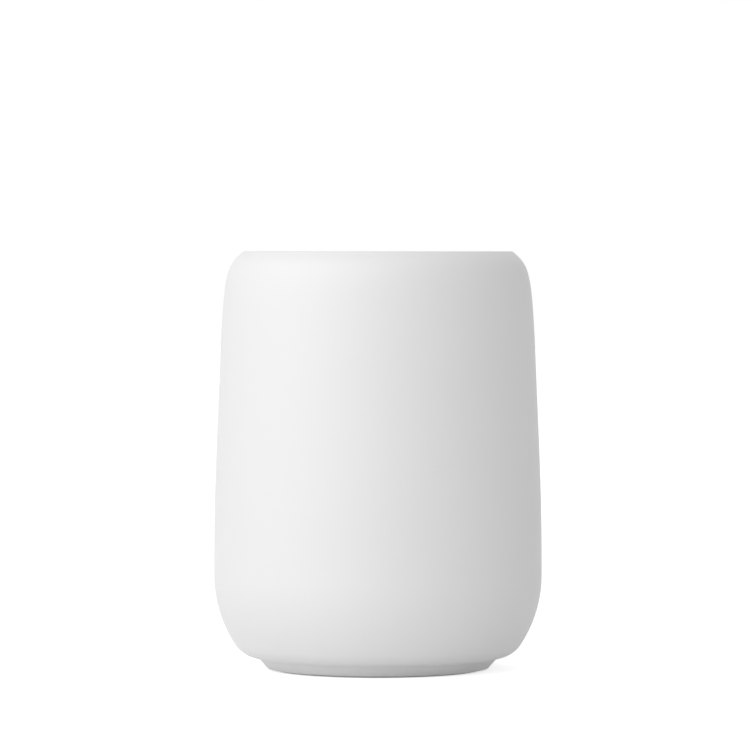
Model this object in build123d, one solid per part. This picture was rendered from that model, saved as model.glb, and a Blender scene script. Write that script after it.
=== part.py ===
from build123d import *
import math
import os

# Pen holder cup, in millimetres: +Z up, origin at the centre of the face that it stands on.
#
# cup_body       one slip-cast and fired stoneware piece: tapered foot, belly, flank, turned-in rim
# non_slip_ring  silicone ring in a groove in the foot, which the cup stands on
# ring_adhesive  adhesive film that holds the silicone ring to the groove's roof
#
# Every piece is turned about the Z axis, so each is drawn as a half section (radius, height).

# Overall
height = 102.0             # standing face to rim
body_diameter = 80.0       # across the belly, the widest place

# Outer form, from the bottom up
underside_height = 3.0     # standing face to the underside of the body
heel_radius = 7.0          # rounds the underside into the belly
belly_radius = 30.5        # lower curve of the body, in section
belly_height = 23.0        # level of the widest place
flank_draw = 1.4           # how far the flank leans in from the belly to the shoulder
flank_taper = 2.3          # degrees from upright where the flank meets the shoulder
shoulder_depth = 30.0      # rim to the level where the flank starts to turn in
rim_set_in = 7.2           # belly to the rim's outer edge, measured radially
rim_slope = 41.0           # degrees from level where the shoulder meets the rim
rim_edge_radius = 0.8
flank_fullness = 0.42      # curve handles, as shares of the stretch that each curve spans
shoulder_rise = 0.86
shoulder_run = 0.74

# Wall and mouth
wall = 4.0
floor_thickness = 5.0
cove_radius = 9.0          # rounds the floor into the wall, inside
mouth_edge_radius = 1.6    # both edges of the mouth

# Foot
foot_set_in = 13.0         # belly to the foot's lower edge, measured radially
foot_flare = 42.0          # degrees from upright
foot_height = 5.0          # foot's lower face to the end of its flare, inside the body
foot_width = 6.0           # radial width of the foot's lower face
foot_edge_radius = 0.6
crease_radius = 0.25       # between the foot and the body
recess_depth = 2.6         # foot's lower face to the edge of the recess's roof
recess_dome = 0.5          # further rise of the roof at the axis
recess_draft = 10.0        # degrees from upright
recess_cove_radius = 1.2

# Non-slip ring and its groove
ring_width = 3.2
ring_thickness = 1.5
ring_proud = 0.4           # how far the ring stands out below the foot
ring_edge_radius = 0.5
ring_clearance = 0.15      # ring to each side of the groove
groove_edge_radius = 0.25
adhesive_thickness = 0.2
adhesive_inset = 0.2       # ring's edge to the film's edge

# Derived places
body_radius = body_diameter / 2
rim_radius = body_radius - rim_set_in
rim_angle = math.radians(rim_slope)
mouth_radius = rim_radius - wall * math.sin(rim_angle)
mouth_underside = height - wall * math.cos(rim_angle)
shoulder_radius = body_radius - flank_draw
shoulder_height = height - shoulder_depth
foot_radius = body_radius - foot_set_in
foot_level = ring_proud
recess_radius = foot_radius - foot_width
recess_edge_level = foot_level + recess_depth
floor_level = recess_edge_level + floor_thickness
ring_mean_radius = foot_radius - foot_width / 2
groove_width = ring_width + 2 * ring_clearance
groove_roof = ring_thickness + adhesive_thickness
foot_land = (foot_width - groove_width) / 2


def flared(radius, degrees, rise):
    """Radius that a wall leaning out by these degrees reaches after this rise."""
    return radius + rise * math.tan(math.radians(degrees))


def corners(face, *places):
    """Vertices of a half section, one nearest to each (radius, height)."""
    return [face.vertices().sort_by_distance(Vector(*place))[0] for place in places]


def turned(face):
    """Solid swept by a half section about the Z axis."""
    return revolve(Plane.XZ * face, Axis.Z).solid()


def body_outline(inset, base_level, base_radius):
    """Half section of the solid body, set in from its outer face: base, belly, flank, shoulder.

    The belly is an arc that stands upright at belly_height. The flank and the shoulder are cubic
    curves that share one tangent, and the shoulder ends at the rim with the rim's slope.
    """
    arc_radius = belly_radius - inset
    arc_centre = Vector(body_radius - belly_radius, belly_height)
    arc_sweep = math.degrees(math.asin((belly_height - base_level) / arc_radius))
    belly = CenterArc(arc_centre, arc_radius, -arc_sweep, arc_sweep)
    heel, widest = belly @ 0, belly @ 1

    upright = Vector(0, 1)
    leaning = upright.rotate(Axis.Z, flank_taper)
    sloping = Vector(1, -math.tan(rim_angle))
    shoulder = Vector(shoulder_radius - inset, shoulder_height)
    rim = Vector(rim_radius - inset * math.sin(rim_angle), height - inset * math.cos(rim_angle))
    flank_handle = flank_fullness * (shoulder.Y - widest.Y)
    rise_handle = shoulder_rise * (rim.Y - shoulder.Y)
    run_handle = shoulder_run * (shoulder.X - rim.X)
    flank = Bezier(widest, widest + upright * flank_handle, shoulder - leaning * flank_handle, shoulder)
    turn = Bezier(shoulder, shoulder + leaning * rise_handle, rim + sloping * run_handle, rim)

    closing = Polyline(rim, (0, rim.Y), (0, base_level), heel)
    face = make_face(belly + flank + turn + closing)
    return fillet(corners(face, (heel.X, heel.Y)), base_radius)


def foot_outline():
    """Half section of the foot, solid to the axis and carried up into the body."""
    flare_top = (flared(foot_radius, foot_flare, foot_height), foot_level + foot_height)
    return make_face(
        Polyline(
            (0, foot_level),
            (foot_radius, foot_level),
            flare_top,
            (flare_top[0], floor_level),
            (0, floor_level),
            close=True,
        )
    )


def mouth_outline():
    """Half section of the mouth, from just inside the cavity to above the rim."""
    low, high = mouth_underside - mouth_edge_radius, height + mouth_edge_radius
    return make_face(Polyline((0, low), (mouth_radius, low), (mouth_radius, high), (0, high), close=True))


def recess_outline():
    """Half section of the recess inside the foot, with a slightly domed roof."""
    roof_edge = (flared(recess_radius, -recess_draft, recess_depth), recess_edge_level)
    roof_centre = (0, recess_edge_level + recess_dome)
    roof = TangentArc(roof_centre, roof_edge, tangent=(1, 0))
    sides = Polyline(roof_edge, (recess_radius, foot_level), (0, foot_level), roof_centre)
    face = make_face(roof + sides)
    return fillet(corners(face, roof_edge), recess_cove_radius)


def band_outline(width, low, high):
    """Half section of a flat ring that is centred under the foot."""
    inner, outer = ring_mean_radius - width / 2, ring_mean_radius + width / 2
    return make_face(Polyline((inner, low), (outer, low), (outer, high), (inner, high), close=True))


def cup_body():
    body = body_outline(0, underside_height, heel_radius)
    cavity = body_outline(wall, floor_level, cove_radius)
    section = body + foot_outline() - cavity - mouth_outline()
    crease = (flared(foot_radius, foot_flare, underside_height - foot_level), underside_height)
    section = fillet(corners(section, crease), crease_radius)
    section = fillet(corners(section, (rim_radius, height)), rim_edge_radius)
    mouth_edges = corners(section, (mouth_radius, mouth_underside), (mouth_radius, height))
    section = fillet(mouth_edges, mouth_edge_radius)

    section = section - recess_outline()
    foot_edges = corners(section, (recess_radius, foot_level), (foot_radius, foot_level))
    section = fillet(foot_edges, min(foot_edge_radius, foot_land / 2))
    section = section - band_outline(groove_width, foot_level, groove_roof)
    groove_sides = (ring_mean_radius - groove_width / 2, ring_mean_radius + groove_width / 2)
    groove_edges = corners(section, *[(side, foot_level) for side in groove_sides])
    return turned(fillet(groove_edges, min(groove_edge_radius, foot_land / 3)))


def non_slip_ring():
    section = band_outline(ring_width, 0, ring_thickness)
    sides = (ring_mean_radius - ring_width / 2, ring_mean_radius + ring_width / 2)
    return turned(fillet(corners(section, *[(side, 0) for side in sides]), ring_edge_radius))


def ring_adhesive():
    return turned(band_outline(ring_width - 2 * adhesive_inset, ring_thickness, groove_roof))


os.makedirs("parts", exist_ok=True)
export_step(cup_body(), "parts/cup_body.step")
export_step(non_slip_ring(), "parts/non_slip_ring.step")
export_step(ring_adhesive(), "parts/ring_adhesive.step")
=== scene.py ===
"""Looks of a ceramic pen holder cup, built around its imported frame.

The file is laid out as an add-on: PropertyGroups hold the sizes and finishes, one operator makes each
piece, one more sets up the studio, and a panel in the 3D view's sidebar lists them all.
"""

import math

import bpy
import numpy as np
from bpy.props import FloatProperty, FloatVectorProperty, IntProperty, PointerProperty
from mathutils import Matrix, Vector


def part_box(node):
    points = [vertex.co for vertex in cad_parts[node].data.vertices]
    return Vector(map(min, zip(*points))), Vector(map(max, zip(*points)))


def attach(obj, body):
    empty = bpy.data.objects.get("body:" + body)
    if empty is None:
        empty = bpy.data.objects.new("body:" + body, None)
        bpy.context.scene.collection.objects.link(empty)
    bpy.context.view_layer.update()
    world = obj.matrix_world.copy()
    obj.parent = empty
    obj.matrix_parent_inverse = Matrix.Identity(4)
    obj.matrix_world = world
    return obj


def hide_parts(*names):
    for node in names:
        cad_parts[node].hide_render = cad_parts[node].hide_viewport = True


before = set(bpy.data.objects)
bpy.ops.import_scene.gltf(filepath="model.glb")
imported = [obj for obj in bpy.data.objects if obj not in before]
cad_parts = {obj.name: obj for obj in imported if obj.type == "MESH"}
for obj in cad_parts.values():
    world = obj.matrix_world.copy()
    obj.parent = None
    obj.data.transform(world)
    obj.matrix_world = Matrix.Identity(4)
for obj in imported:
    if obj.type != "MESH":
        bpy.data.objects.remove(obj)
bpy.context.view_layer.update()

bl_info = {
    "name": "Pen Holder Cup",
    "version": (1, 0, 0),
    "blender": (4, 5, 0),
    "location": "3D View > Sidebar > Pen Cup",
    "description": "Makes a ceramic pen cup, its non-slip ring and a studio to show it in",
    "category": "Object",
}

BODY = "root"
MM = 0.001
SAME_PLACE = 0.0001 * MM    # points of an outline that are closer than this are one point
CUP_LOW, CUP_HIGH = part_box("cup_body")
RING_LOW, RING_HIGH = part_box("non_slip_ring")
FILM_LOW, FILM_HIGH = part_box("ring_adhesive")


# ---------------------------------------------------------------- sizes, finishes and studio


def length(name, millimetres, description):
    """A length that is set in the sidebar."""
    return FloatProperty(
        name=name,
        description=description,
        default=millimetres * MM,
        min=0,
        precision=5,
        unit="LENGTH",
        subtype="DISTANCE",
    )


def angle(name, degrees, description):
    """An angle that is set in the sidebar."""
    return FloatProperty(
        name=name,
        description=description,
        default=math.radians(degrees),
        unit="ROTATION",
        subtype="ANGLE",
    )


def number(name, value, description):
    """A number of 0 or more that is set in the sidebar."""
    return FloatProperty(name=name, description=description, default=value, min=0)


def share(name, value, description):
    """A number from 0 to 1 that is set in the sidebar."""
    return FloatProperty(
        name=name,
        description=description,
        default=value,
        min=0,
        max=1,
        subtype="FACTOR",
    )


def tint(name, red, green, blue, description):
    """A colour that is set in the sidebar."""
    return FloatVectorProperty(
        name=name,
        description=description,
        default=(red, green, blue),
        min=0,
        max=1,
        size=3,
        subtype="COLOR",
    )


class CupForm(bpy.types.PropertyGroup):
    """Sizes of the cup. Its height, width, foot level and groove roof come from the frame."""

    underside_height: length("Underside height", 3, "Standing face to the underside of the body")
    heel_radius: length("Heel radius", 7, "Rounds the underside into the belly")
    belly_radius: length("Belly radius", 30.5, "Lower curve of the body, in section")
    belly_height: length("Belly height", 23, "Level of the widest place")
    flank_draw: length("Flank draw", 1.4, "How far the flank leans in from the belly to the shoulder")
    flank_taper: angle("Flank taper", 2.3, "Lean of the wall where the flank meets the shoulder")
    flank_fullness: share("Flank fullness", 0.42, "Flank's curve handles, as a share of its rise")
    shoulder_depth: length("Shoulder depth", 30, "Rim to the level where the flank starts to turn in")
    shoulder_rise: share("Shoulder rise", 0.86, "Shoulder's lower curve handle, as a share of its rise")
    shoulder_run: share("Shoulder run", 0.74, "Shoulder's upper curve handle, as a share of its run")
    rim_set_in: length("Rim set-in", 7.2, "Belly to the rim's outer edge, measured radially")
    rim_slope: angle("Rim slope", 41, "Fall of the shoulder from level where it meets the rim")
    rim_edge_radius: length("Rim edge radius", 0.8, "Rounds the rim's outer edge")
    wall: length("Wall", 4, "Thickness of the wall")
    floor_thickness: length("Floor thickness", 5, "Recess to the floor inside")
    cove_radius: length("Cove radius", 9, "Rounds the floor into the wall, inside")
    mouth_edge_radius: length("Mouth edge radius", 1.6, "Rounds both edges of the mouth")
    foot_set_in: length("Foot set-in", 13, "Belly to the foot's lower edge, measured radially")
    foot_flare: angle("Foot flare", 42, "Lean of the foot's outer side")
    foot_width: length("Foot width", 6, "Radial width of the foot's lower face")
    foot_edge_radius: length("Foot edge radius", 0.6, "Rounds both edges of the foot's lower face")
    crease_radius: length("Crease radius", 0.25, "Rounds the crease between the foot and the body")
    recess_depth: length("Recess depth", 2.6, "Foot's lower face to the edge of the recess's roof")
    recess_dome: length("Recess dome", 0.5, "Further rise of the recess's roof at the axis")
    recess_draft: angle("Recess draft", 10, "Lean of the recess's side")
    recess_cove_radius: length("Recess cove radius", 1.2, "Rounds the recess's side into its roof")
    groove_width: length("Groove width", 3.5, "Radial width of the groove for the non-slip ring")
    groove_edge_radius: length("Groove edge radius", 0.25, "Rounds both edges of the groove")
    out_of_round: length("Out of round", 0.1, "How far the belly is drawn in across one diameter")
    coat_over_rim: length("Coat over rim", 1.26, "How far the coat reaches in over the rim's flat top")
    finish_band: length("Finish band", 1.2, "Width in which one finish gives way to the next")
    pool_reach: length("Pool reach", 2.5, "How far gathered glaze reaches from the floor's edge")
    sides: IntProperty(name="Sides", description="Points round the cup", default=192, min=48, max=212)


class RingForm(bpy.types.PropertyGroup):
    """Sizes of the non-slip ring and its film. Their levels and outer radii come from the frame."""

    ring_width: length("Ring width", 3.2, "Radial width of the ring")
    standing_edge_radius: length("Standing edge radius", 0.5, "Rounds the edges that the cup stands on")
    upper_edge_radius: length("Upper edge radius", 0.15, "Rounds the edges inside the groove")
    film_width: length("Film width", 2.8, "Radial width of the adhesive film")
    film_edge_radius: length("Film edge radius", 0.09, "Rounds the pressed edges of the film")
    sides: IntProperty(name="Sides", description="Points round the ring", default=192, min=48, max=512)


class Finishes(bpy.types.PropertyGroup):
    """Colours and roughness of the finishes, and how unevenly they came out."""

    coat: tint("Coat", 0.80, 0.80, 0.80, "Soft-touch matt coat on the outside")
    coat_clouding: share("Coat clouding", 0.015, "How much darker the faint clouds in the coat are")
    coat_roughness: share("Coat roughness", 0.56, "Roughness of the coat")
    coat_unevenness: share("Coat unevenness", 0.06, "How far the coat's roughness varies")
    glaze: tint("Glaze", 0.79, 0.79, 0.78, "Satin glaze inside")
    glaze_pooled: tint("Pooled glaze", 0.70, 0.715, 0.70, "Glaze that has gathered round the floor")
    glaze_roughness: share("Glaze roughness", 0.2, "Roughness of the glaze")
    glaze_unevenness: share("Glaze unevenness", 0.08, "How far the glaze's roughness varies")
    pool_unevenness: share("Pool unevenness", 0.6, "How far the strength of the gathered glaze varies")
    clay: tint("Clay", 0.66, 0.62, 0.55, "Bare fired clay on the foot's ground face")
    clay_speck: tint("Clay speck", 0.36, 0.30, 0.24, "Iron specks in the clay")
    clay_roughness: share("Clay roughness", 0.85, "Roughness of the bare clay")
    silicone: tint("Silicone", 0.72, 0.72, 0.715, "Milky silicone of the ring")
    silicone_clouding: share("Silicone clouding", 0.07, "How much darker the silicone's clouds are")
    silicone_roughness: share("Silicone roughness", 0.48, "Roughness of the silicone")
    silicone_unevenness: share("Silicone unevenness", 0.12, "How far the silicone's roughness varies")
    adhesive: tint("Adhesive", 0.70, 0.67, 0.58, "Adhesive film")
    adhesive_roughness: share("Adhesive roughness", 0.35, "Roughness of the adhesive film")
    bubble_shade: share("Bubble shade", 0.15, "How much darker the film is over a bubble")
    bubble_roughness: share("Bubble roughness", 0.2, "How much rougher the film is over a bubble")


class Textures(bpy.types.PropertyGroup):
    """Sizes and depths of the fine relief, and sizes of the patterns in the finishes."""

    boundary_ripple: length("Boundary ripple", 0.9, "Size of ripples in the line between two finishes")
    boundary_waver: share("Boundary waver", 0.5, "How far that line strays, as a share of its band")
    coat_cloud: length("Coat cloud", 22, "Size of the clouds in the coat")
    coat_grain: length("Coat grain", 0.22, "Size of the coat's grain")
    coat_grain_depth: length("Coat grain depth", 0.006, "Depth of the coat's grain")
    glaze_patch: length("Glaze patch", 9, "Size of the patches in which the glaze's roughness varies")
    glaze_pool_patch: length("Glaze pool patch", 6, "Size of the patches in the gathered glaze")
    glaze_ripple: length("Glaze ripple", 2.6, "Size of the ripples in the glaze")
    glaze_ripple_depth: length("Glaze ripple depth", 0.030, "Depth of the ripples in the glaze")
    clay_grain: length("Clay grain", 0.35, "Size of the ground clay's grain")
    clay_grain_depth: length("Clay grain depth", 0.060, "Depth of the ground clay's grain")
    clay_speck: length("Clay speck", 0.7, "Size of the specks in the clay")
    silicone_cloud: length("Silicone cloud", 5, "Size of the clouds in the silicone")
    silicone_grain: length("Silicone grain", 0.25, "Size of the silicone's mould texture")
    silicone_grain_depth: length("Silicone grain depth", 0.012, "Depth of the silicone's mould texture")
    bubble: length("Bubble", 0.5, "Size of the bubbles in the adhesive film")
    bubble_depth: length("Bubble depth", 0.02, "How far a bubble lifts the film")


class Studio(bpy.types.PropertyGroup):
    """Camera, lamps and floor."""

    camera_distance: length("Camera distance", 1200, "Cup's axis to the camera, level with the rim")
    aim_height: length("Aim height", 71.22, "Level that the camera looks at")
    aim_aside: length("Aim aside", 0.11, "How far to the left of the cup's axis the camera looks")
    lens: number("Lens", 234.6, "Focal length in millimetres")
    ambient: number("Ambient", 0.523, "Brightness of the surroundings")
    lamp_distance: length("Lamp distance", 1300, "Cup's axis to both softboxes")
    key_power: number("Key power", 22.7, "Wide softbox on the left, in watts")
    key_azimuth: angle("Key azimuth", -50, "Bearing of the key from the camera's side of the cup")
    key_height: length("Key height", 800, "Level of the key's centre")
    key_size: length("Key size", 2400, "Side of the key")
    fill_power: number("Fill power", 1.2, "Softbox near the camera, in watts")
    fill_azimuth: angle("Fill azimuth", 20, "Bearing of the fill from the camera's side of the cup")
    fill_height: length("Fill height", 250, "Level of the fill's centre")
    fill_size: length("Fill size", 1500, "Side of the fill")
    floor: tint("Floor", 0.80, 0.80, 0.80, "Colour of the floor")
    floor_reach: length("Floor reach", 4000, "Cup's axis to each side of the floor")
    floor_light: number("Floor light", 0.03, "Light that the floor gives off, as a lit table does")
    floor_glow: share("Floor glow", 0.66, "Lifts the floor to white where it is seen")


class PenCup(bpy.types.PropertyGroup):
    """Everything that the sidebar sets."""

    form: PointerProperty(type=CupForm)
    ring: PointerProperty(type=RingForm)
    finishes: PointerProperty(type=Finishes)
    textures: PointerProperty(type=Textures)
    studio: PointerProperty(type=Studio)


# ---------------------------------------------------------------- outlines, as (radius, height) points


def at(radius, height):
    """A place, or a step from one place to another."""
    return np.array([radius, height], float)


def unit(vector):
    """The vector made one long."""
    return vector / np.linalg.norm(vector)


def shares(steps):
    """Numbers from 0 to 1 in equal steps, as a column."""
    return np.linspace(0, 1, steps + 1)[:, None]


def straight(start, end, steps=1):
    """Points on a line: the start plus t times the way to the end, for t from 0 to 1."""
    return start + shares(steps) * (end - start)


def arc(centre, start, end, steps):
    """Points on a circle: the centre plus the first and last spokes, which are weighed by
    sin((1 - t) a) / sin a and sin(t a) / sin a, where a is the angle between them."""
    first, last = start - centre, end - centre
    sweep = math.atan2(abs(first[0] * last[1] - first[1] * last[0]), np.dot(first, last))
    t = shares(steps)
    return centre + (np.sin((1 - t) * sweep) * first + np.sin(t * sweep) * last) / math.sin(sweep)


def rounded(before, corner, after, radius, steps):
    """Arc that touches both runs of a corner. It starts and ends the radius over the tangent of half
    the corner's angle away from it, and its centre lies the radius over the sine of that half away."""
    back, ahead = unit(before - corner), unit(after - corner)
    half = math.acos(np.dot(back, ahead)) / 2
    reach = radius / math.tan(half)
    centre = corner + unit(back + ahead) * radius / math.sin(half)
    return arc(centre, corner + back * reach, corner + ahead * reach, steps)


def cubic(start, first_handle, second_handle, end, steps):
    """Bezier curve: its four points weighed by (1-t)^3, 3t(1-t)^2, 3t^2(1-t) and t^3."""
    t = shares(steps)
    s = 1 - t
    return s**3 * start + 3 * t * s**2 * first_handle + 3 * t**2 * s * second_handle + t**3 * end


def joined(*runs):
    """One line of points from several runs, with each repeated point kept once."""
    points = np.vstack(runs)
    apart = np.linalg.norm(np.diff(points, axis=0), axis=1) > SAME_PLACE
    return points[np.append(True, apart)]


def without_corner(points, corner, arc_start):
    """The points of a run that lie further from a corner than the arc that rounds it starts."""
    return points[np.linalg.norm(points - corner, axis=1) > np.linalg.norm(arc_start - corner)]


def heel_centre(form, inset, base_level, base_radius):
    """Centre of the arc that touches both the level base and the belly's arc from inside."""
    centre = at(CUP_HIGH.x - form.belly_radius, form.belly_height)
    drop = base_level + base_radius - centre[1]
    reach = form.belly_radius - inset - base_radius
    return centre + at(math.sqrt(reach**2 - drop**2), drop)


def floor_level(form):
    """Level of the floor inside."""
    return CUP_LOW.z + form.recess_depth + form.floor_thickness


def down_the_rim(form):
    """Direction in which the shoulder falls from the rim."""
    return at(math.cos(form.rim_slope), -math.sin(form.rim_slope))


def rim_corner(form, inset):
    """Where the shoulder meets the rim, set in square to the shoulder from the outer face."""
    outer = at(CUP_HIGH.x - form.rim_set_in, CUP_HIGH.z)
    return outer - inset * at(math.sin(form.rim_slope), math.cos(form.rim_slope))


def body_curve(form, inset, base_level, base_radius, heel_start=None):
    """Outline of the body from its base up, set in from its outer face: heel, belly, flank, shoulder.

    The belly is an arc that stands upright at the widest place. The flank and the shoulder are cubic
    curves that share one tangent, and the shoulder ends at the rim with the rim's slope.
    """
    belly_radius = form.belly_radius - inset
    belly_centre = at(CUP_HIGH.x - form.belly_radius, form.belly_height)
    heel = heel_centre(form, inset, base_level, base_radius)
    heel_start = heel - at(0, base_radius) if heel_start is None else heel_start
    heel_end = belly_centre + unit(heel - belly_centre) * belly_radius
    widest = belly_centre + at(belly_radius, 0)

    shoulder = at(CUP_HIGH.x - form.flank_draw - inset, CUP_HIGH.z - form.shoulder_depth)
    rim = rim_corner(form, inset)
    leaning = at(-math.sin(form.flank_taper), math.cos(form.flank_taper))
    flank_handle = form.flank_fullness * (shoulder[1] - widest[1])
    rise_handle = form.shoulder_rise * (rim[1] - shoulder[1])
    run_handle = form.shoulder_run * (shoulder[0] - rim[0]) / math.cos(form.rim_slope)
    over_belly, under_shoulder = widest + at(0, flank_handle), shoulder - leaning * flank_handle
    over_shoulder, before_rim = shoulder + leaning * rise_handle, rim + down_the_rim(form) * run_handle
    return joined(
        arc(heel, heel_start, heel_end, steps=22),
        arc(belly_centre, heel_end, widest, steps=34),
        cubic(widest, over_belly, under_shoulder, shoulder, steps=60),
        cubic(shoulder, over_shoulder, before_rim, rim, steps=56),
    )


def recess_outline(form, edge_radius):
    """Roof and side of the recess inside the foot, from the axis to the foot's lower face.

    The roof is a shallow arc, whose radius is (half chord squared + dome squared) / (2 dome).
    """
    roof_level = CUP_LOW.z + form.recess_depth
    opening = at(edge_radius, CUP_LOW.z)
    roof_edge = at(edge_radius - form.recess_depth * math.tan(form.recess_draft), roof_level)
    roof_radius = (roof_edge[0] ** 2 + form.recess_dome**2) / (2 * form.recess_dome)
    roof_centre = at(0, roof_level + form.recess_dome)
    cove = rounded(at(0, roof_level), roof_edge, opening, form.recess_cove_radius, steps=10)
    roof = arc(roof_centre - at(0, roof_radius), roof_centre, cove[0], steps=24)
    foot_edge = rounded(roof_edge, opening, opening + at(1, 0), form.foot_edge_radius, steps=7)
    return joined(roof, cove, foot_edge)


def groove_outline(form, mean_radius, roof_level):
    """Lower face of the foot with the ring's groove in it, from the inner land to the outer one."""
    inner, outer = mean_radius - form.groove_width / 2, mean_radius + form.groove_width / 2
    corners = [at(inner, CUP_LOW.z), at(inner, roof_level), at(outer, roof_level), at(outer, CUP_LOW.z)]
    radius = form.groove_edge_radius
    entry = rounded(corners[0] - at(1, 0), corners[0], corners[1], radius, steps=5)
    leaving = rounded(corners[2], corners[3], corners[3] + at(1, 0), radius, steps=5)
    side, roof = straight(entry[-1], corners[1], steps=2), straight(corners[1], corners[2], steps=3)
    return joined(entry, side, roof, leaving)


def crease_corner(form, foot_corner, heel):
    """Where the foot's flared side, carried up from its lower corner, first meets the heel's arc."""
    flare = at(math.sin(form.foot_flare), math.cos(form.foot_flare))
    to_heel = heel - foot_corner
    along_flare = np.dot(flare, to_heel)
    off_flare_squared = np.dot(to_heel, to_heel) - along_flare**2
    return foot_corner + flare * (along_flare - math.sqrt(form.heel_radius**2 - off_flare_squared))


def outer_outline(form, foot_radius):
    """Outside of the cup, from the foot's lower edge over the crease and the body to the rim's top."""
    foot_corner = at(foot_radius, CUP_LOW.z)
    heel = heel_centre(form, 0, form.underside_height, form.heel_radius)
    crease = crease_corner(form, foot_corner, heel)
    spoke = unit(crease - heel)
    heel_tangent = at(-spoke[1], spoke[0])
    foot_edge = rounded(foot_corner - at(1, 0), foot_corner, crease, form.foot_edge_radius, steps=7)
    fillet = rounded(foot_corner, crease, crease + heel_tangent, form.crease_radius, steps=5)
    heel_start = heel + unit(fillet[-1] - heel) * form.heel_radius
    body = body_curve(form, 0, form.underside_height, form.heel_radius, heel_start)
    rim = rim_corner(form, 0)
    rim_edge = rounded(rim + down_the_rim(form), rim, rim - at(1, 0), form.rim_edge_radius, steps=8)
    body = without_corner(body, rim, rim_edge[0])
    return joined(foot_edge, straight(foot_edge[-1], fillet[0], steps=4), fillet, body, rim_edge)


def inner_outline(form):
    """Inside of the cup, from the mouth's upper edge down the wall and over the floor to the axis."""
    lower = rim_corner(form, form.wall)
    upper = at(lower[0], CUP_HIGH.z)
    upper_edge = rounded(upper + at(1, 0), upper, lower, form.mouth_edge_radius, steps=12)
    lower_edge = rounded(upper, lower, lower + down_the_rim(form), form.mouth_edge_radius, steps=8)
    cavity = body_curve(form, form.wall, floor_level(form), form.cove_radius)[::-1]
    cavity = without_corner(cavity, lower, lower_edge[-1])
    floor = straight(cavity[-1], at(0, floor_level(form)), steps=24)
    return joined(upper_edge, lower_edge, cavity, floor)


def band_outline(middle, width, low, high, low_radius, high_radius, steps):
    """Loop round a flat ring's section, with its lower and upper edges rounded."""
    inner, outer = middle - width / 2, middle + width / 2
    corners = [at(inner, low), at(outer, low), at(outer, high), at(inner, high)]
    radii = [low_radius, low_radius, high_radius, high_radius]
    befores, afters = corners[-1:] + corners[:-1], corners[1:] + corners[:1]
    return joined(*[rounded(*places, steps) for places in zip(befores, corners, afters, radii)])


# ---------------------------------------------------------------- surfaces


def along(outline):
    """Distance of each point from the outline's start, measured along it."""
    return np.append(0, np.cumsum(np.linalg.norm(np.diff(outline, axis=0), axis=1)))


def perfectly_round(turn, height):
    """Factor on the radius of a round piece: 1 at every bearing and height."""
    return np.ones(np.broadcast(turn, height).shape)


def swept(rows, sides, shape):
    """Points of a surface of revolution: (r_i cos a_j, r_i sin a_j, z_i), with a_j = 2 pi j / sides.

    shape(a, z) is a factor on the radius.
    """
    turn = 2 * math.pi * np.arange(sides) / sides
    radius, height = rows[:, :1], rows[:, 1:]
    radius = radius * shape(turn, height)
    spread = np.broadcast_arrays(radius * np.cos(turn), radius * np.sin(turn), height)
    return np.stack(spread, axis=-1).reshape(-1, 3)


def quads_between(rows, sides):
    """Row and step round the turn of each corner of the quads that join every row to the next."""
    row, step = np.meshgrid(np.arange(rows), np.arange(sides), indexing="ij")
    corner_rows = np.stack([row, row, row + 1, row + 1], axis=-1)
    corner_steps = np.stack([step, step + 1, step + 1, step], axis=-1)
    return corner_rows.reshape(-1, 4), corner_steps.reshape(-1, 4)


def new_mesh(name, points, faces, corner_uv):
    """Smooth mesh from groups of faces. Each corner's U is a share of the turn, V of the outline."""
    mesh = bpy.data.meshes.new(name)
    mesh.from_pydata(points, [], [face for group in faces for face in group.tolist()])
    mesh.shade_smooth()
    uv = np.concatenate([group.reshape(-1, 2) for group in corner_uv])
    mesh.uv_layers.new(name="UVMap").uv.foreach_set("vector", uv.astype(np.float32).ravel())
    return mesh


def turned_ring(name, loop, sides):
    """Surface of revolution of a loop that has air on its right as it is followed."""
    row, step = quads_between(len(loop), sides)
    quads = row % len(loop) * sides + step % sides
    lengths = along(np.vstack([loop, loop[:1]]))
    quad_uv = np.stack([step / sides, lengths[row] / lengths[-1]], axis=-1)
    return new_mesh(name, swept(loop, sides, perfectly_round), [quads], [quad_uv])


def pole_fans(rings, sides, share_at):
    """Triangles from the first and last ring to the poles, whose points follow the rings, and UV."""
    here = np.arange(sides)
    beyond = (here + 1) % sides
    start_pole, end_pole = rings * sides, rings * sides + 1
    last_ring = (rings - 1) * sides
    start_fan = np.stack([np.full(sides, start_pole), beyond, here], axis=-1)
    end_fan = np.stack([last_ring + here, last_ring + beyond, np.full(sides, end_pole)], axis=-1)

    start_u = np.stack([here + 0.5, here + 1, here], axis=-1) / sides
    end_u = np.stack([here, here + 1, here + 0.5], axis=-1) / sides
    start_v = np.broadcast_to([0, share_at[1], share_at[1]], (sides, 3))
    end_v = np.broadcast_to([share_at[-2], share_at[-2], 1], (sides, 3))
    uv = [np.stack([start_u, start_v], axis=-1), np.stack([end_u, end_v], axis=-1)]
    return [start_fan, end_fan], uv


def turned_vessel(name, outline, sides, shape):
    """Surface of revolution of an outline that has air on its right as it is followed.

    The outline starts and ends on the axis, in one point each, where the faces are a fan of triangles.
    """
    rings = outline[1:-1]
    share_at = along(outline) / along(outline)[-1]
    row, step = quads_between(len(rings) - 1, sides)
    quads = row * sides + step % sides
    quad_uv = np.stack([step / sides, share_at[row + 1]], axis=-1)
    fans, fan_uv = pole_fans(len(rings), sides, share_at)
    poles = [[0, 0, outline[0][1]], [0, 0, outline[-1][1]]]
    points = np.vstack([swept(rings, sides, shape), poles])
    return new_mesh(name, points, [quads, *fans], [quad_uv, *fan_uv])


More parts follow.
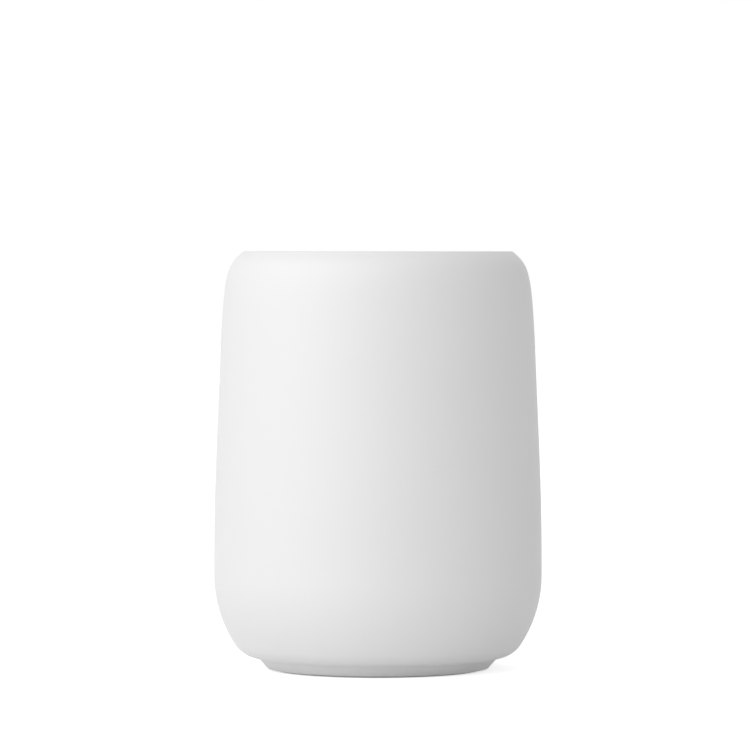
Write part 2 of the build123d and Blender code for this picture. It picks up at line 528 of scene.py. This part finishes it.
def add_attribute(mesh, name, values, sides):
    """Point attribute from one value per outline point of a turned surface that ends on the axis."""
    spread = np.concatenate([np.repeat(values[1:-1], sides), values[:1], values[-1:]])
    mesh.attributes.new(name, "FLOAT", "POINT").data.foreach_set("value", spread.astype(np.float32))


def check_reach(piece, node):
    """Stops the script if a piece is larger than the box of the CAD node that it stands for."""
    slack = 0.05 * MM
    low, high = (np.array(corner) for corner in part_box(node))
    corners = np.array([corner[:] for corner in piece.bound_box])
    if (corners.min(0) < low - slack).any() or (corners.max(0) > high + slack).any():
        raise RuntimeError(f"{piece.name} is larger than {node}")


def new_piece(mesh, material, node):
    """Puts a mesh in the scene in place of a CAD node."""
    piece = bpy.data.objects.new(mesh.name, mesh)
    bpy.context.scene.collection.objects.link(piece)
    mesh.materials.append(material)
    check_reach(piece, node)
    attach(piece, BODY)
    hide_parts(node)
    return piece


# ---------------------------------------------------------------- shader nodes


class Wire:
    """A node's output. Arithmetic on it adds Math nodes to the same tree."""

    def __init__(self, shader, socket):
        self.shader = shader
        self.socket = socket

    def math(self, operation, *values):
        """Math node with these numbers or links."""
        return self.shader.node("ShaderNodeMath", {"operation": operation}, dict(enumerate(values)))

    def larger(self, other):
        """The larger of this value and another."""
        return self.math("MAXIMUM", self, other)

    def __add__(self, other):
        return self.math("ADD", self, other)

    def __sub__(self, other):
        return self.math("SUBTRACT", self, other)

    def __rsub__(self, other):
        return self.math("SUBTRACT", other, self)

    def __mul__(self, other):
        return self.math("MULTIPLY", self, other)

    __radd__ = __add__
    __rmul__ = __mul__


class Shader:
    """A node tree that is filled through one method."""

    def __init__(self, owner):
        owner.use_nodes = True
        self.tree = owner.node_tree
        self.tree.nodes.clear()

    def node(self, kind, settings=None, inputs=None, output=0):
        """Adds a node: its settings first, then each socket's value or link. Returns one output."""
        made = self.tree.nodes.new(kind)
        for key, value in (settings or {}).items():
            setattr(made, key, value)
        for key, value in (inputs or {}).items():
            if isinstance(value, Wire):
                self.tree.links.new(value.socket, made.inputs[key])
            else:
                made.inputs[key].default_value = value
        return Wire(self, made.outputs[output]) if made.outputs else None

    def place(self):
        """Coordinates on the piece, in metres."""
        return self.node("ShaderNodeTexCoord", output="Object")

    def noise(self, size, detail=2.0):
        """Smooth noise from 0 to 1 with features about as long as size, in metres."""
        sockets = {"Vector": self.place(), "Scale": 1 / size, "Detail": detail}
        return self.node("ShaderNodeTexNoise", {"noise_dimensions": "3D"}, sockets)

    def wander(self, size, amount):
        """Smooth noise from minus to plus half the amount, with features about as long as size."""
        return (self.noise(size) - 0.5) * amount

    def attribute(self, name):
        """Value of one of the mesh's attributes."""
        return self.node("ShaderNodeAttribute", {"attribute_name": name}, output="Fac")

    def step(self, value, low, high):
        """0 below low, 1 above high, and a smooth rise between them."""
        sockets = {"Value": value, "From Min": low, "From Max": high}
        return self.node("ShaderNodeMapRange", {"interpolation_type": "SMOOTHSTEP"}, sockets)

    def blend(self, factor, first, second):
        """Colour between first and second: the node's inputs 6 and 7 and its output 2 hold colours."""
        sockets = {"Factor": factor, 6: opaque(first), 7: opaque(second)}
        return self.node("ShaderNodeMix", {"data_type": "RGBA"}, sockets, output=2)

    def bump(self, height):
        """Normal of a relief whose height is in metres."""
        return self.node("ShaderNodeBump", inputs={"Height": height, "Distance": 1.0})

    def surface(self, sockets):
        """Principled surface as the tree's result."""
        surface = self.node("ShaderNodeBsdfPrincipled", inputs=sockets)
        self.node("ShaderNodeOutputMaterial", inputs={"Surface": surface})


def opaque(colour):
    """A colour with full alpha; a link is left as it is."""
    return colour if isinstance(colour, Wire) else (*colour[:3], 1.0)


def darker(colour, amount):
    """A colour with this share of its light taken away."""
    return [channel * (1 - amount) for channel in colour]


def new_material(name):
    """A new material and the shader that fills its node tree."""
    material = bpy.data.materials.new(name)
    return material, Shader(material)


# ---------------------------------------------------------------- finishes


def stoneware_finish(look, texture):
    """Soft-touch coat outside, satin glaze inside and bare ground clay on the foot's lower face.

    The attributes rise from 0 to 1 across each boundary, and fine noise makes its line uneven. The
    coat's clouds are a little darker and more or less rough, and the gathered glaze is patchy.
    """
    material, shader = new_material("coated_stoneware")
    uneven_line = shader.wander(texture.boundary_ripple, texture.boundary_waver)
    glazed = shader.step(shader.attribute("glazed") + uneven_line, low=0.44, high=0.56)
    bare = shader.step(shader.attribute("bare") + uneven_line, low=0.40, high=0.60)
    cloud = shader.noise(texture.coat_cloud)

    def by_finish(coat, glaze, clay):
        """The coat's value, or the glaze's where the cup is glazed, or the clay's where it is bare."""
        fired = coat * (1 - glazed) + glaze * glazed
        return fired * (1 - bare) + clay * bare

    coat = shader.blend(cloud, look.coat, darker(look.coat, look.coat_clouding))
    patchy = 1 + shader.wander(texture.glaze_pool_patch, look.pool_unevenness)
    glaze = shader.blend(shader.attribute("pooled") * patchy, look.glaze, look.glaze_pooled)
    speck = shader.step(shader.noise(texture.clay_speck, detail=3.0), low=0.66, high=0.72)
    clay = shader.blend(speck, look.clay, look.clay_speck)

    coat_roughness = look.coat_roughness + (cloud - 0.5) * look.coat_unevenness
    glaze_roughness = look.glaze_roughness + shader.wander(texture.glaze_patch, look.glaze_unevenness)

    grain = shader.noise(texture.coat_grain, detail=3.0) * texture.coat_grain_depth
    ripple = shader.noise(texture.glaze_ripple, detail=1.0) * texture.glaze_ripple_depth
    ground = shader.noise(texture.clay_grain, detail=4.0) * texture.clay_grain_depth
    shader.surface(
        {
            "Base Color": shader.blend(bare, shader.blend(glazed, coat, glaze), clay),
            "Roughness": by_finish(coat_roughness, glaze_roughness, look.clay_roughness),
            "IOR": 1.5,
            "Normal": shader.bump(by_finish(grain, ripple, ground)),
        }
    )
    return material


def silicone_finish(look, texture):
    """Milky moulded silicone: faintly cloudy, with a fine mould texture."""
    material, shader = new_material("milky_silicone")
    cloud = shader.noise(texture.silicone_cloud)
    clouded = darker(look.silicone, look.silicone_clouding)
    grain = shader.noise(texture.silicone_grain, detail=3.0) * texture.silicone_grain_depth
    shader.surface(
        {
            "Base Color": shader.blend(cloud, look.silicone, clouded),
            "Roughness": look.silicone_roughness + (cloud - 0.5) * look.silicone_unevenness,
            "IOR": 1.41,
            "Normal": shader.bump(grain),
        }
    )
    return material


def adhesive_finish(look, texture):
    """Adhesive film with small trapped bubbles."""
    material, shader = new_material("adhesive_film")
    bubble = shader.step(shader.noise(texture.bubble), low=0.60, high=0.68)
    shader.surface(
        {
            "Base Color": shader.blend(bubble, look.adhesive, darker(look.adhesive, look.bubble_shade)),
            "Roughness": look.adhesive_roughness + bubble * look.bubble_roughness,
            "IOR": 1.47,
            "Normal": shader.bump(bubble * texture.bubble_depth),
        }
    )
    return material


def seen_directly(shader):
    """1 for rays that show the background: straight from the camera, mirrored or through glass."""
    straight_on = shader.node("ShaderNodeLightPath", output="Is Camera Ray")
    mirrored = shader.node("ShaderNodeLightPath", output="Is Glossy Ray")
    through_glass = shader.node("ShaderNodeLightPath", output="Is Transmission Ray")
    return straight_on.larger(mirrored).larger(through_glass)


def floor_finish(studio):
    """Pale floor that keeps shadows. It gives off a little light, and is lifted to white where seen."""
    material, shader = new_material("studio_floor")
    pale = shader.node("ShaderNodeBsdfDiffuse", inputs={"Color": opaque(studio.floor)})

    def glowing(strength):
        glow = shader.node("ShaderNodeEmission", inputs={"Strength": strength})
        return shader.node("ShaderNodeAddShader", inputs={0: pale, 1: glow})

    sockets = {0: seen_directly(shader), 1: glowing(studio.floor_light), 2: glowing(studio.floor_glow)}
    shown = shader.node("ShaderNodeMixShader", inputs=sockets)
    shader.node("ShaderNodeOutputMaterial", inputs={"Surface": shown})
    return material


# ---------------------------------------------------------------- pieces


def oval(form):
    """Shape that firing has drawn in: the radius shrinks by (1 - cos 2a) / 2 of out_of_round.

    The shrinking grows from nothing at the underside to its full size at the belly and above.
    """

    def shape(turn, height):
        above_foot = (height - form.underside_height) / (form.belly_height - form.underside_height)
        drawn_in = form.out_of_round * np.clip(above_foot, 0, 1) * (1 - np.cos(2 * turn)) / 2
        return 1 - drawn_in / CUP_HIGH.x

    return shape


def mark_finishes(mesh, form, recess, land, outside, inside):
    """Attributes that say how bare, glazed and thickly glazed the cup is at each point.

    The foot's lower face is bare. The glaze starts where the coat ends, as the rim's flat top turns
    down into the mouth, and has gathered where the cove meets the floor.
    """
    place = along(joined(recess, land, outside, inside))
    land_start = along(recess)[-1]
    land_end = along(joined(recess, land))[-1]
    glaze_start = along(joined(recess, land, outside))[-1] + form.coat_over_rim
    floor_radius = heel_centre(form, form.wall, floor_level(form), form.cove_radius)[0]
    from_floor_edge = (place - (place[-1] - floor_radius)) / form.pool_reach
    bare = 0.5 + np.minimum(place - land_start, land_end - place) / form.finish_band
    glazed = 0.5 + (place - glaze_start) / form.finish_band
    add_attribute(mesh, "bare", bare.clip(0, 1), form.sides)
    add_attribute(mesh, "glazed", glazed.clip(0, 1), form.sides)
    add_attribute(mesh, "pooled", np.exp(-(from_floor_edge**2)), form.sides)


def make_cup(settings):
    """The stoneware cup, in place of its CAD node."""
    form = settings.form
    foot_radius = CUP_HIGH.x - form.foot_set_in
    runs = (
        recess_outline(form, foot_radius - form.foot_width),
        groove_outline(form, foot_radius - form.foot_width / 2, FILM_HIGH.z),
        outer_outline(form, foot_radius),
        inner_outline(form),
    )
    mesh = turned_vessel("stoneware_cup", joined(*runs), form.sides, oval(form))
    mark_finishes(mesh, form, *runs)
    material = stoneware_finish(settings.finishes, settings.textures)
    return new_piece(mesh, material, "cup_body")


def make_ring(settings):
    """The silicone ring that the cup stands on."""
    ring = settings.ring
    outline = band_outline(
        middle=RING_HIGH.x - ring.ring_width / 2,
        width=ring.ring_width,
        low=RING_LOW.z,
        high=RING_HIGH.z,
        low_radius=ring.standing_edge_radius,
        high_radius=ring.upper_edge_radius,
        steps=8,
    )
    mesh = turned_ring("silicone_ring", outline, ring.sides)
    material = silicone_finish(settings.finishes, settings.textures)
    return new_piece(mesh, material, "non_slip_ring")


def make_film(settings):
    """The adhesive film between the ring and the roof of its groove."""
    ring = settings.ring
    outline = band_outline(
        middle=FILM_HIGH.x - ring.film_width / 2,
        width=ring.film_width,
        low=FILM_LOW.z,
        high=FILM_HIGH.z,
        low_radius=ring.film_edge_radius,
        high_radius=ring.film_edge_radius,
        steps=4,
    )
    mesh = turned_ring("adhesive_film", outline, ring.sides)
    material = adhesive_finish(settings.finishes, settings.textures)
    return new_piece(mesh, material, "ring_adhesive")


# ---------------------------------------------------------------- studio


def round_the_cup(azimuth, distance, height):
    """A place at this bearing from the camera's side of the cup, counted towards the right."""
    return Vector((math.sin(azimuth) * distance, -math.cos(azimuth) * distance, height))


def facing(obj, place, target):
    """Puts a camera or lamp at a place and turns it to a target."""
    obj.location = place
    obj.rotation_euler = (target - place).to_track_quat("-Z", "Y").to_euler()


def make_lamp(name, power, size, place):
    """Square softbox that faces the cup's middle but doesn't show itself."""
    lamp = bpy.data.lights.new(name, "AREA")
    lamp.energy = power
    lamp.size = size
    holder = bpy.data.objects.new(name, lamp)
    holder.visible_camera = False
    bpy.context.scene.collection.objects.link(holder)
    facing(holder, place, Vector((0, 0, (CUP_LOW.z + CUP_HIGH.z) / 2)))


def make_floor(studio):
    """Level floor far wider than the cup, one face, with the cup standing at its middle."""
    reach = studio.floor_reach
    corners = [(-reach, -reach, 0), (reach, -reach, 0), (reach, reach, 0), (-reach, reach, 0)]
    mesh = bpy.data.meshes.new("studio_floor")
    mesh.from_pydata(corners, [], [(0, 1, 2, 3)])
    mesh.materials.append(floor_finish(studio))
    floor = bpy.data.objects.new("studio_floor", mesh)
    bpy.context.scene.collection.objects.link(floor)


def make_surroundings(studio):
    """Even soft light from all round, shown as white."""
    world = bpy.data.worlds.new("studio_surroundings")
    bpy.context.scene.world = world
    shader = Shader(world)
    seen = seen_directly(shader)
    white = (1, 1, 1, 1)
    strength = seen + (1 - seen) * studio.ambient
    background = shader.node("ShaderNodeBackground", inputs={"Color": white, "Strength": strength})
    shader.node("ShaderNodeOutputWorld", inputs={"Surface": background})


def make_camera(studio):
    """Camera level with the rim, tipped down to its aim."""
    camera = bpy.data.cameras.new("studio_camera")
    camera.lens = studio.lens
    holder = bpy.data.objects.new("studio_camera", camera)
    bpy.context.scene.collection.objects.link(holder)
    aim = Vector((-studio.aim_aside, 0, studio.aim_height))
    facing(holder, round_the_cup(0, studio.camera_distance, CUP_HIGH.z), aim)
    bpy.context.scene.camera = holder


def make_studio(settings):
    """Floor, surroundings, lamps and camera."""
    studio = settings.studio
    key_place = round_the_cup(studio.key_azimuth, studio.lamp_distance, studio.key_height)
    fill_place = round_the_cup(studio.fill_azimuth, studio.lamp_distance, studio.fill_height)
    make_floor(studio)
    make_surroundings(studio)
    make_lamp("key_softbox", studio.key_power, studio.key_size, key_place)
    make_lamp("fill_softbox", studio.fill_power, studio.fill_size, fill_place)
    make_camera(studio)
    bpy.context.scene.view_settings.view_transform = "Standard"


# ---------------------------------------------------------------- operators and panel


class PENCUP_OT_cup(bpy.types.Operator):
    """Make the coated and glazed stoneware cup"""

    bl_idname = "pencup.cup"
    bl_label = "Cup"

    def execute(self, context):
        make_cup(context.scene.pen_cup)
        return {"FINISHED"}


class PENCUP_OT_ring(bpy.types.Operator):
    """Make the silicone ring that the cup stands on"""

    bl_idname = "pencup.ring"
    bl_label = "Non-slip Ring"

    def execute(self, context):
        make_ring(context.scene.pen_cup)
        return {"FINISHED"}


class PENCUP_OT_film(bpy.types.Operator):
    """Make the adhesive film that holds the ring"""

    bl_idname = "pencup.film"
    bl_label = "Adhesive Film"

    def execute(self, context):
        make_film(context.scene.pen_cup)
        return {"FINISHED"}


class PENCUP_OT_studio(bpy.types.Operator):
    """Make the floor, lamps, surroundings and camera"""

    bl_idname = "pencup.studio"
    bl_label = "Studio"

    def execute(self, context):
        make_studio(context.scene.pen_cup)
        return {"FINISHED"}


OPERATORS = (PENCUP_OT_cup, PENCUP_OT_ring, PENCUP_OT_film, PENCUP_OT_studio)


class PENCUP_PT_sidebar(bpy.types.Panel):
    """Buttons that make the pieces, and the settings that they use"""

    bl_idname = "PENCUP_PT_sidebar"
    bl_label = "Pen Holder Cup"
    bl_space_type = "VIEW_3D"
    bl_region_type = "UI"
    bl_category = "Pen Cup"

    def draw(self, context):
        for operator in OPERATORS:
            self.layout.operator(operator.bl_idname)
        settings = context.scene.pen_cup
        for name in PenCup.__annotations__:
            group = getattr(settings, name)
            column = self.layout.box().column()
            for setting in group.__annotations__:
                column.prop(group, setting)


GROUPS = (CupForm, RingForm, Finishes, Textures, Studio, PenCup)
CLASSES = (*GROUPS, *OPERATORS, PENCUP_PT_sidebar)


def register():
    for cls in CLASSES:
        bpy.utils.register_class(cls)
    bpy.types.Scene.pen_cup = PointerProperty(type=PenCup)


def unregister():
    del bpy.types.Scene.pen_cup
    for cls in reversed(CLASSES):
        bpy.utils.unregister_class(cls)


def main():
    register()
    bpy.ops.pencup.cup()
    bpy.ops.pencup.ring()
    bpy.ops.pencup.film()
    bpy.ops.pencup.studio()


if __name__ == "__main__":
    main()
